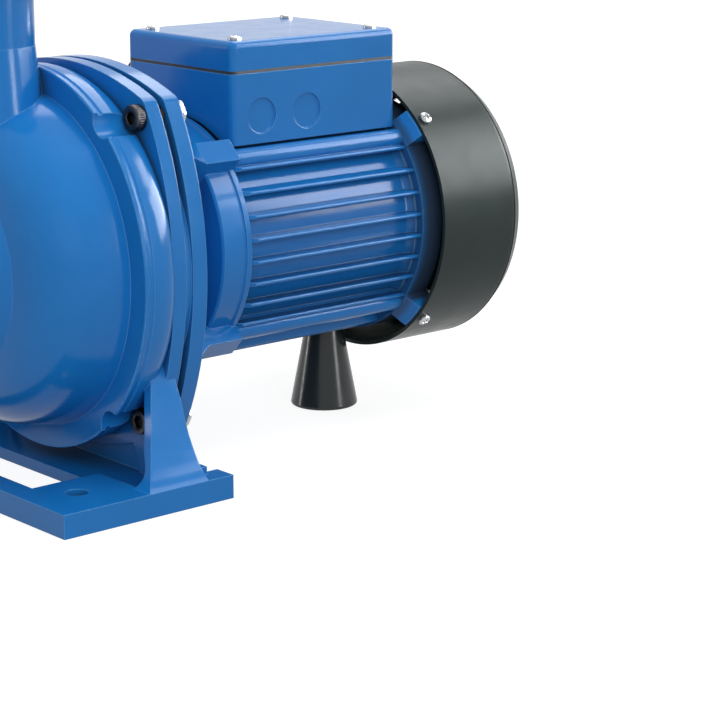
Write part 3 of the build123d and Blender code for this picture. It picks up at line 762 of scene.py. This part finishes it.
class Finishes:
    """All finishes of the pump, built once."""

    def __init__(self) -> None:
        """Build every material."""
        # The third colour is the lighter edge tint: partly worn paint, partly a painted highlight.
        blue, shade, edge_highlight_tint = (0.012, 0.192, 0.56), (0.009, 0.172, 0.51), (0.14, 0.42, 0.8)
        low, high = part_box("fan_cover")
        # Painted shadow of the fan cover on the frame, darkest at the cover's front edge.
        painted_cover_shadow = PaintedCoverShadow(edge=low[0], shaft_height=0.5 * (low[2] + high[2]))
        self.casting = Enamel("blue_enamel_on_iron", blue, shade, edge_highlight_tint).build()
        self.frame = Enamel(
            "blue_enamel_on_aluminium", blue, shade, edge_highlight_tint, wave_depth=0.00003, painted_cover_shadow=painted_cover_shadow
        ).build()
        self.plastic = Moulding(
            "black_moulded_plastic", (0.026, 0.038, 0.037), (0.022, 0.033, 0.032), 0.32, specular=0.13
        ).build()
        self.rubber = Moulding(
            "black_rubber", (0.02, 0.026, 0.027), (0.015, 0.02, 0.021), 0.2, specular=0.35
        ).build()
        self.gasket = Moulding("gasket_board", (0.02, 0.028, 0.036), (0.014, 0.02, 0.026), 0.6).build()
        self.zinc = Metal("zinc_plated_steel", (0.5, 0.51, 0.52), (0.34, 0.35, 0.36), 0.26).build()
        self.black_steel = Metal(
            "blackened_steel", (0.075, 0.075, 0.08), (0.05, 0.05, 0.055), 0.36
        ).build()
        self.core = Metal("core_plates", (0.35, 0.35, 0.36), (0.25, 0.25, 0.26), 0.5).build()
        self.brass = Metal("turned_brass", (0.78, 0.58, 0.28), (0.6, 0.43, 0.2), 0.3).build()

    def dress(self, nodes: dict[str, bpy.types.Object]) -> None:
        """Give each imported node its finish.

        Args:
            nodes: The frame's nodes by name.
        """
        groups = (
            (self.casting, ("pump_casing", "motor_bracket")),
            (self.frame, ("motor_frame", "rear_shield", "terminal_box", "box_lid")),
            (self.gasket, ("casing_gasket", "box_gasket")),
            (self.brass, ("impeller", "priming_plug", "drain_plug")),
            (self.plastic, ("fan_cover", "cooling_fan", "gland_body", "gland_nut")),
            (self.rubber, ("gland_seal", "support_foot", "shaft_seal")),
            (self.core, ("rotor_core", "stator_core")),
        )
        plan = {name: finish for finish, names in groups for name in names}
        for name, piece in nodes.items():
            piece.data.materials.clear()
            piece.data.materials.append(plan.get(name, self.zinc))
            LOG.info("dressed %s", name)


@dataclass
class FlangeJoint:
    """Four socket-head screws with nuts that draw the casing onto the bracket, in millimetres."""

    finishes: Finishes
    head_radius: float = 6.5
    head_height: float = 5.6
    solid_height: float = 8.0
    socket_across: float = 6.0
    socket_depth: float = 3.2
    socket_lip: float = 0.35
    face_width: float = 0.75
    edge_height: float = 0.2
    edge_inset: float = 0.3
    side_start: float = 0.65
    side_inset: float = 0.12
    seat_height: float = 0.5
    seat_inset: float = 0.4
    knurl_depth: float = 0.11
    knurl_heights: tuple[float, ...] = (0.9, 1.8, 3.2, 4.6)
    shank_radius: float = 4.0
    fillet_width: float = 0.3
    fillet_length: float = 0.4
    thread_length: float = 15.0
    thread_depth: float = 0.28
    pitch: float = 1.25
    tip: float = 0.9
    plain_end: float = 3.2
    nut_across: float = 13.0
    nut_height: float = 3.0
    nut_bevel: float = 0.4
    nut_overlap: float = 0.1
    nut_countersink: float = 0.5
    end_beyond_nut: float = 0.2

    def nut(self) -> Turning:
        """Closed section of one hexagonal nut.

        Returns:
            The nut, its seat at height 0.
        """
        face, bore = FACE_SHARE * self.nut_across, self.shank_radius - self.nut_overlap
        return Turning((
            Row(0.0, bore),
            Row(0.0, face),
            *prism(self.nut_across, self.nut_bevel, self.nut_height - self.nut_bevel),
            Row(self.nut_height, face),
            Row(self.nut_height, bore + self.nut_countersink),
            Row(self.nut_height - self.nut_countersink, bore),
        ))

    def screw(self, length: float) -> Turning:
        """One screw, from the socket's floor over the head to the threaded end.

        Args:
            length: Length of the whole screw.

        Returns:
            The screw, the face of its head at height 0.
        """
        head, side, top = self.head_radius, self.head_radius - self.side_inset, self.head_height
        start, stop = length - self.thread_length, length - self.tip
        core = self.shank_radius - self.thread_depth
        return Turning((
            Row(self.socket_depth, 0.0),
            Row(self.socket_depth, math.inf, self.socket_across),
            Row(self.socket_lip, math.inf, self.socket_across),
            Row(0.0, 0.5 * self.socket_across + self.face_width),
            Row(0.0, head - self.face_width),
            Row(self.edge_height, head - self.edge_inset),
            Row(self.side_start, side),
            *(Row(height, side, knurl=self.knurl_depth) for height in self.knurl_heights),
            Row(top - self.seat_height, side),
            Row(top, head - self.seat_inset),
            Row(top, self.shank_radius + self.fillet_width),
            Row(top + self.fillet_length, self.shank_radius),
            *threaded(start, stop, core, self.thread_depth, self.pitch),
            Row(length, self.shank_radius - self.tip),
            Row(length, 0.0),
        ), self.pitch)

    def build(self) -> None:
        """Build the four screws in place of the plain ones, and their nuts."""
        low, high = corners("flange_bolts")
        front = low[0] + self.solid_height - self.head_height
        rear = high[0] - self.plain_end
        screw, nut = self.screw(rear + self.nut_height + self.end_beyond_nut - front), self.nut()
        screws, nuts = Shell("flange_screws"), Shell("flange_nuts")
        for y in (low[1] + self.head_radius, high[1] - self.head_radius):
            for z in (low[2] + self.head_radius, high[2] - self.head_radius):
                screws.add(screw.grid(Axle((front, y, z), X_AXIS, Z_AXIS)))
                nuts.add(nut.grid(Axle((rear, y, z), X_AXIS, Z_AXIS)), Flow.RING)
        screws.finish(self.finishes.black_steel, Slot.STEEL, "flange_bolts")
        nuts.finish(self.finishes.zinc, Slot.STEEL)


@dataclass
class Ports:
    """Pipe threads of the two necks and the two brass plugs, in millimetres."""

    finishes: Finishes
    suction_radius: float = 19.5
    discharge_radius: float = 15.2
    discharge_offset: float = 55.5
    sleeve_start: float = 0.5
    sleeve_inset: float = 0.06
    sleeve_excess: float = 0.3
    thread_start: float = 0.9
    thread_length: float = 18.2
    thread_depth: float = 0.5
    thread_gap: float = 0.15
    wall_gap: float = 0.05
    pipe_pitch: float = 2.31
    plug_across: float = 17.0
    plug_head: float = 6.0
    plug_face_share: float = 0.47
    plug_face_bevel: float = 0.45
    plug_seat_bevel: float = 0.4
    plug_shank: float = 5.6
    plug_pitch: float = 1.34
    plug_thread_depth: float = 0.25
    plug_thread_inset: float = 0.3
    plug_runout: float = 0.5
    groove_shares: tuple[float, float, float] = (0.27, 0.29, 0.31)
    groove_depth: float = 0.3
    tip_share: float = 0.8
    washer_radius: float = 10.2
    washer_height: float = 1.1
    washer_edge: float = 0.2
    washer_bevel: float = 0.25
    washer_gap: float = 0.02

    def collar(self, radius: float) -> Turning:
        """Thread cut into a bore, as a thin sleeve just inside it.

        Args:
            radius: Radius of the bore.

        Returns:
            The sleeve, its inner wall between the two ends of its outer wall.
        """
        wall = radius - self.wall_gap
        mean = wall - self.thread_gap - self.thread_depth
        inner = threaded(self.thread_start, self.thread_length, mean, self.thread_depth, self.pipe_pitch)
        return Turning((
            Row(self.sleeve_start, wall - self.sleeve_inset),
            *inner,
            Row(self.thread_length + self.sleeve_excess, wall),
        ), self.pipe_pitch)

    def build_threads(self) -> None:
        """Build the threads of the suction and the discharge neck."""
        low, high = corners("pump_casing")
        shaft_low, shaft_high = corners("motor_shaft")
        centre = 0.5 * (shaft_low[2] + shaft_high[2])
        inlet = Axle((low[0], 0.0, centre), X_AXIS, Z_AXIS)
        outlet = Axle((low[0] + self.discharge_offset, 0.0, high[2]), DOWN, X_AXIS)
        shell = Shell("port_threads")
        for radius, axle in ((self.suction_radius, inlet), (self.discharge_radius, outlet)):
            shell.add(self.collar(radius).grid(axle), Flow.RING)
        shell.finish(self.finishes.casting, Slot.CASTING)

    def plug(self, length: float) -> Turning:
        """One plug with a grooved hexagonal head and a threaded shank.

        Args:
            length: Length of the whole plug.

        Returns:
            The plug, the face of its head at height 0.
        """
        across, flat = self.plug_across, self.plug_head - self.washer_height
        inner, floor, outer = (share * across for share in self.groove_shares)
        mean = self.plug_shank - self.plug_thread_inset
        start, stop = self.plug_head + self.plug_runout, length - self.plug_runout
        return Turning((
            Row(0.0, 0.0),
            Row(0.0, inner),
            Row(self.groove_depth, floor),
            Row(0.0, outer),
            Row(0.0, self.plug_face_share * across),
            *prism(across, self.plug_face_bevel, flat - self.plug_seat_bevel),
            Row(flat, self.plug_face_share * across),
            Row(flat, self.plug_shank),
            *threaded(start, stop, mean, self.plug_thread_depth, self.plug_pitch),
            Row(length, self.tip_share * self.plug_shank),
            Row(length, 0.0),
        ), self.plug_pitch)

    def washer(self) -> Turning:
        """Closed section of one sealing washer under a plug's head.

        Returns:
            The washer, at its height on the plug.
        """
        flat, edge = self.plug_head - self.washer_height, self.washer_edge
        inner, outer = self.plug_shank + edge, self.washer_radius
        return Turning((
            Row(flat + self.washer_gap, inner),
            Row(flat + self.washer_gap, outer - edge),
            Row(flat + self.washer_bevel, outer),
            Row(self.plug_head - edge, outer),
            Row(self.plug_head, outer - edge),
            Row(self.plug_head, inner),
        ))

    def build_plugs(self) -> None:
        """Build the hexagonal plugs and their sealing washers."""
        plugs, washers = Shell("hex_plugs"), Shell("plug_washers")
        for node in ("priming_plug", "drain_plug"):
            low, high = corners(node)
            middle = 0.5 * (low + high)
            axle = Axle((low[0], middle[1], middle[2]), X_AXIS, Z_AXIS)
            plugs.add(self.plug(high[0] - low[0]).grid(axle))
            washers.add(self.washer().grid(axle), Flow.RING)
        plugs.finish(self.finishes.brass, Slot.BRASS, "priming_plug", "drain_plug")
        washers.finish(self.finishes.gasket, Slot.GASKET)

    def build(self) -> None:
        """Build the threads and the plugs."""
        self.build_threads()
        self.build_plugs()


@dataclass
class CoverTrim:
    """Bevelled rim of the fan cover and the pan-head screws that hold it, in millimetres."""

    finishes: Finishes
    radius: float = 3.5
    height: float = 2.9
    turns_deg: tuple[int, ...] = (45, 135, 225, 315)
    rim_length: float = 6.2
    rim_drop: float = 3.55
    rim_inset: float = 8.4
    rim_lap: float = 0.03
    rim_edge: float = 0.2
    rim_ease: float = 0.12
    rim_lip: float = 0.8
    rim_wall: float = 1.6
    rim_hem: float = 0.6
    rim_around: int = 180

    def rim(self, outer: float, rear: float) -> Turning:
        """Closed section of the bevel, a cone with a flat back.

        Args:
            outer: Radius of the cover.
            rear: Place of the flat back along the shaft.

        Returns:
            The rim, at its place on the shaft.
        """
        front, foot, inner = rear - self.rim_length, outer - self.rim_drop, outer - self.rim_inset
        return Turning((
            Row(front, outer + self.rim_lap),
            Row(rear - self.rim_edge, foot + self.rim_ease),
            Row(rear, foot - self.rim_edge),
            Row(rear, inner),
            Row(rear - self.rim_lip, inner),
            Row(rear - self.rim_wall, foot - self.rim_wall),
            Row(front, outer - self.rim_hem),
        ), around=self.rim_around)

    def build_rim(self) -> None:
        """Build the bevel that runs round the cover's rear edge."""
        low, high = corners("fan_cover")
        rim = self.rim(0.5 * (high[1] - low[1]), high[0] - self.rim_lap)
        axle = Axle((0.0, 0.0, 0.5 * (low[2] + high[2])), X_AXIS, Z_AXIS)
        shell = Shell("cover_rim")
        shell.add(rim.grid(axle), Flow.RING)
        shell.finish(self.finishes.plastic, Slot.PLASTIC, sharp_deg=24.0)

    def build_screws(self) -> None:
        """Build the four screws in place of the plain discs."""
        low, high = corners("cover_screws")
        cover_low, cover_high = corners("fan_cover")
        seat = 0.5 * (cover_high[1] - cover_low[1])
        centre = 0.5 * (cover_low[2] + cover_high[2])
        shell = Shell("cover_pan_screws")
        for turn in self.turns_deg:
            y, z = math.cos(math.radians(turn)), math.sin(math.radians(turn))
            axle = Axle((0.5 * (low[0] + high[0]), seat * y, centre + seat * z), (0.0, y, z), X_AXIS)
            shell.add(PanHead(self.radius, self.height).grid(axle))
        shell.finish(self.finishes.zinc, Slot.STEEL, "cover_screws", sharp_deg=40.0)

    def build(self) -> None:
        """Build the rim and the screws."""
        self.build_rim()
        self.build_screws()


@dataclass
class TerminalBox:
    """Screws of the lid and the cable gland, in millimetres."""

    finishes: Finishes
    screw_radius: float = 3.6
    collar_across: float = 22.0
    collar_length: float = 6.0
    neck_radius: float = 8.5
    neck_length: float = 5.0
    way_radius: float = 5.0
    thread_radius: float = 7.9
    thread_depth: float = 0.25
    pitch: float = 1.5
    start_inset: float = 0.8
    start_length: float = 0.6
    wall_gap: float = 0.4
    shoulder_inset: float = 0.2
    neck_thread_inset: float = 0.3
    end_inset: float = 0.6
    hex_bevel: float = 0.5
    hex_ease: float = 0.6
    nut_across: float = 21.0
    nut_length: float = 9.0
    nut_bore: float = 7.0
    nut_face_share: float = 0.47
    nut_hex_length: float = 5.0
    mouth_radius: float = 5.5
    mouth_depth: float = 2.0
    mouth_bevel: float = 0.4
    lip: float = 1.0
    shoulder: float = 5.5
    dome_start: float = 5.6
    dome_rows: int = 8

    def build_screws(self) -> None:
        """Build the four screws of the lid."""
        low, high = corners("lid_screws")
        head = PanHead(self.screw_radius, high[2] - low[2])
        shell = Shell("lid_pan_screws")
        for x in (low[0] + self.screw_radius, high[0] - self.screw_radius):
            for y in (low[1] + self.screw_radius, high[1] - self.screw_radius):
                shell.add(head.grid(Axle((x, y, low[2]), Z_AXIS, X_AXIS)))
        shell.finish(self.finishes.zinc, Slot.STEEL, "lid_screws", sharp_deg=40.0)

    def gland_axle(self, height: float) -> Axle:
        """Axis of the gland, pointing away from the box.

        Args:
            height: Distance of its origin from the box's wall.

        Returns:
            The axis.
        """
        low, high = corners("gland_body")
        middle = 0.5 * (low + high)
        wall = high[1] - self.neck_length - self.collar_length
        return Axle((middle[0], wall + height, middle[2]), Y_AXIS, Z_AXIS)

    def gland_body(self, length: float) -> Turning:
        """Closed section of the gland's body: inner thread, hexagonal collar and outer thread.

        Args:
            length: Length of the whole body.

        Returns:
            The body, the box's wall at height 0.
        """
        collar, depth = self.collar_length, self.thread_depth
        end, face = collar + self.neck_length, FACE_SHARE * self.collar_across
        start, inset = end - length, self.neck_thread_inset
        first, last, shoulder = start + self.start_length, -self.wall_gap, collar + self.shoulder_inset
        return Turning((
            Row(start, self.way_radius),
            Row(start, self.thread_radius - self.start_inset),
            *threaded(first, last, self.thread_radius - depth, depth, self.pitch),
            Row(0.0, self.thread_radius),
            Row(0.0, face),
            *prism(self.collar_across, self.hex_bevel, collar - self.hex_bevel, far=self.hex_ease),
            Row(collar, face),
            Row(collar, self.neck_radius - self.shoulder_inset),
            *threaded(shoulder, end - inset, self.neck_radius - inset, depth, self.pitch),
            Row(end, self.neck_radius - self.end_inset),
            Row(end, self.way_radius),
        ), self.pitch)

    def gland_nut(self) -> Turning:
        """Closed section of the gland's nut: a hexagon that ends in a dome round the mouth.

        The dome's height is the sine and its radius the cosine of a quarter turn, added to
        the height at which it starts and to the radius of the lip.

        Returns:
            The nut, its start at height 0.
        """
        length, face = self.nut_length, self.nut_face_share * self.nut_across
        lip, rise = self.mouth_radius + self.lip, length - self.dome_start
        curve = np.linspace(0.0, math.pi / 2, self.dome_rows + 1)[1:]
        heights, radii = self.dome_start + rise * np.sin(curve), lip + (face - lip) * np.cos(curve)
        return Turning((
            Row(0.0, self.nut_bore),
            Row(0.0, FACE_SHARE * self.nut_across),
            *prism(self.nut_across, self.hex_bevel, self.nut_hex_length, far=self.hex_ease),
            Row(self.shoulder, face),
            *(Row(float(height), float(radius)) for height, radius in zip(heights, radii)),
            Row(length - self.mouth_bevel, self.mouth_radius),
            Row(length - self.mouth_depth, self.mouth_radius),
            Row(length - self.mouth_depth, self.nut_bore),
        ))

    def build_gland(self) -> None:
        """Build the gland's threaded body and its domed nut."""
        low, high = corners("gland_body")
        neck_end = self.collar_length + self.neck_length
        body, nut = Shell("gland_threaded_body"), Shell("gland_domed_nut")
        body.add(self.gland_body(high[1] - low[1]).grid(self.gland_axle(0.0)), Flow.RING)
        nut.add(self.gland_nut().grid(self.gland_axle(neck_end)), Flow.RING)
        body.finish(self.finishes.plastic, Slot.PLASTIC, "gland_body")
        nut.finish(self.finishes.plastic, Slot.PLASTIC, "gland_nut")

    def build(self) -> None:
        """Build the screws and the gland."""
        self.build_screws()
        self.build_gland()


@dataclass(frozen=True)
class Lamp:
    """Soft rectangular lamp, in metres and watts."""

    name: str
    place: Place
    aim: Place
    width: float
    height: float
    power: float
    diffuse: bool = True
    glossy: bool = True
    roll_deg: float = 0.0

    def hang(self) -> None:
        """Hang the lamp, turned to its aim."""
        data = bpy.data.lights.new(self.name, "AREA")
        data.shape = "RECTANGLE"
        data.size, data.size_y = self.width, self.height
        data.energy = self.power
        lamp = add_object(self.name, data)
        lamp.location = self.place
        aim = (Vector(self.aim) - Vector(self.place)).to_track_quat("-Z", "Y")
        roll = Euler((0.0, 0.0, math.radians(self.roll_deg))).to_quaternion()
        lamp.rotation_euler = (aim @ roll).to_euler()
        lamp.visible_camera = False
        lamp.visible_diffuse = self.diffuse
        lamp.visible_glossy = self.glossy


@dataclass
class Studio:
    """Camera, lamps, world and floor of the still."""

    camera_mm: Place = (-733.27, -973.47, 341.61)
    heading_deg: float = -41.323
    down_deg: float = 13.914
    lens_mm: float = 116.474
    sensor_mm: float = 36.0
    clip: tuple[float, float] = (0.01, 100.0)
    floor_half: float = 6.0
    floor_tone: float = 0.3
    floor_glow: float = 0.86
    world_light: float = 0.5
    world_tint: Colour = (0.96, 0.98, 1.0)
    lamps: tuple[Lamp, ...] = (
        Lamp("side_softbox", (0.788, -0.27, 0.4), (0.018, 0.37, 0.4), 0.9, 0.34, 14.2, diffuse=False),
        Lamp("side_softbox_top", (0.663, -0.420, 0.725), (-0.107, 0.22, 0.725), 0.34, 0.34, 3.8,
             diffuse=False, roll_deg=-31.0),
        Lamp("top_softbox", (1.0, 0.5, 1.45), (0.0, 0.0, 0.12), 1.3, 1.0, 16.0, diffuse=False),
        Lamp("far_strip", (-2.08, 2.07, 0.2), (0.08, 0.0, 0.02), 0.24, 0.4, 6.0, diffuse=False),
        Lamp("near_strip", (0.6, -1.5, 0.5), (0.1, 0.0, 0.05), 0.3, 0.8, 10.0, diffuse=False),
        Lamp("top_light", (0.6, -0.4, 2.2), (0.0, 0.0, 0.12), 1.3, 1.3, 18.0, glossy=False),
        Lamp("front_fill", (-1.1, -2.2, 1.0), (0.0, 0.0, 0.1), 1.8, 1.4, 26.0, glossy=False),
        Lamp("back_fill", (0.9, 2.2, 1.0), (0.0, 0.0, 0.1), 1.6, 1.4, 14.0, glossy=False),
    )

    def place_camera(self) -> None:
        """Set the camera at the photo's viewing angle."""
        data = bpy.data.cameras.new("camera")
        data.lens = self.lens_mm
        data.sensor_width = self.sensor_mm
        data.clip_start, data.clip_end = self.clip
        camera = add_object("camera", data)
        camera.location = Vector(self.camera_mm) * MM
        camera.rotation_euler = Euler(
            (math.radians(90.0 - self.down_deg), 0.0, math.radians(self.heading_deg))
        )
        bpy.context.scene.camera = camera

    @staticmethod
    def split_rays(tree: bpy.types.NodeTree, lighting: Node, shown: Node, out: Node) -> None:
        """Give one shader to the rays that show a surface, and another to those that it lights.

        Args:
            tree: Node tree of a world or of a material.
            lighting: Shader for diffuse rays.
            shown: Shader for camera, glossy and transmission rays.
            out: The tree's output.
        """
        path = tree.nodes.new("ShaderNodeLightPath")
        first, second = tree.nodes.new("ShaderNodeMath"), tree.nodes.new("ShaderNodeMath")
        first.operation = second.operation = "MAXIMUM"
        mix = tree.nodes.new("ShaderNodeMixShader")
        for source, target in (
            (path.outputs["Is Camera Ray"], first.inputs[0]),
            (path.outputs["Is Glossy Ray"], first.inputs[1]),
            (first.outputs[0], second.inputs[0]),
            (path.outputs["Is Transmission Ray"], second.inputs[1]),
            (second.outputs[0], mix.inputs[0]),
            (lighting.outputs[0], mix.inputs[1]),
            (shown.outputs[0], mix.inputs[2]),
            (mix.outputs[0], out.inputs["Surface"]),
        ):
            tree.links.new(source, target)

    def light_world(self) -> None:
        """Set even surroundings, white to the camera and in reflections."""
        world = bpy.data.worlds.new("studio")
        tree = empty_tree(world)
        out = tree.nodes.new("ShaderNodeOutputWorld")
        white = tree.nodes.new("ShaderNodeBackground")
        white.inputs["Color"].default_value = (1.0, 1.0, 1.0, 1.0)
        lit = tree.nodes.new("ShaderNodeBackground")
        lit.inputs["Color"].default_value = (*self.world_tint, 1.0)
        lit.inputs["Strength"].default_value = self.world_light
        self.split_rays(tree, lit, white, out)
        bpy.context.scene.world = world

    def lay_floor(self) -> None:
        """Lay a plain pale floor that keeps the shadow and is white where it is lit."""
        half = self.floor_half
        square = [(-half, -half, 0), (half, -half, 0), (half, half, 0), (-half, half, 0)]
        mesh = bpy.data.meshes.new("floor")
        mesh.from_pydata(square, [], [(0, 1, 2, 3)])
        floor = add_object("floor", mesh)
        material = bpy.data.materials.new("floor")
        tree = empty_tree(material)
        out = tree.nodes.new("ShaderNodeOutputMaterial")
        matt = tree.nodes.new("ShaderNodeBsdfDiffuse")
        matt.inputs["Color"].default_value = (*[self.floor_tone] * 3, 1.0)
        glow = tree.nodes.new("ShaderNodeEmission")
        glow.inputs["Color"].default_value = (1.0, 1.0, 1.0, 1.0)
        glow.inputs["Strength"].default_value = self.floor_glow
        both = tree.nodes.new("ShaderNodeAddShader")
        tree.links.new(matt.outputs[0], both.inputs[0])
        tree.links.new(glow.outputs[0], both.inputs[1])
        self.split_rays(tree, matt, both, out)
        mesh.materials.append(material)

    def build(self) -> None:
        """Set up the whole studio."""
        self.place_camera()
        for lamp in self.lamps:
            lamp.hang()
        self.light_world()
        self.lay_floor()
        bpy.context.scene.view_settings.view_transform = "Standard"
        LOG.info("studio ready")


def main() -> None:
    """Load the frame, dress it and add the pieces."""
    logging.basicConfig(level=logging.INFO, format="%(name)s: %(message)s")
    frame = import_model()
    finishes = Finishes()
    finishes.dress(frame["nodes"])
    for assembly in (FlangeJoint, Ports, CoverTrim, TerminalBox):
        assembly(finishes).build()
        LOG.info("finished %s", assembly.__name__)
    Studio().build()


if __name__ == "__main__":
    main()
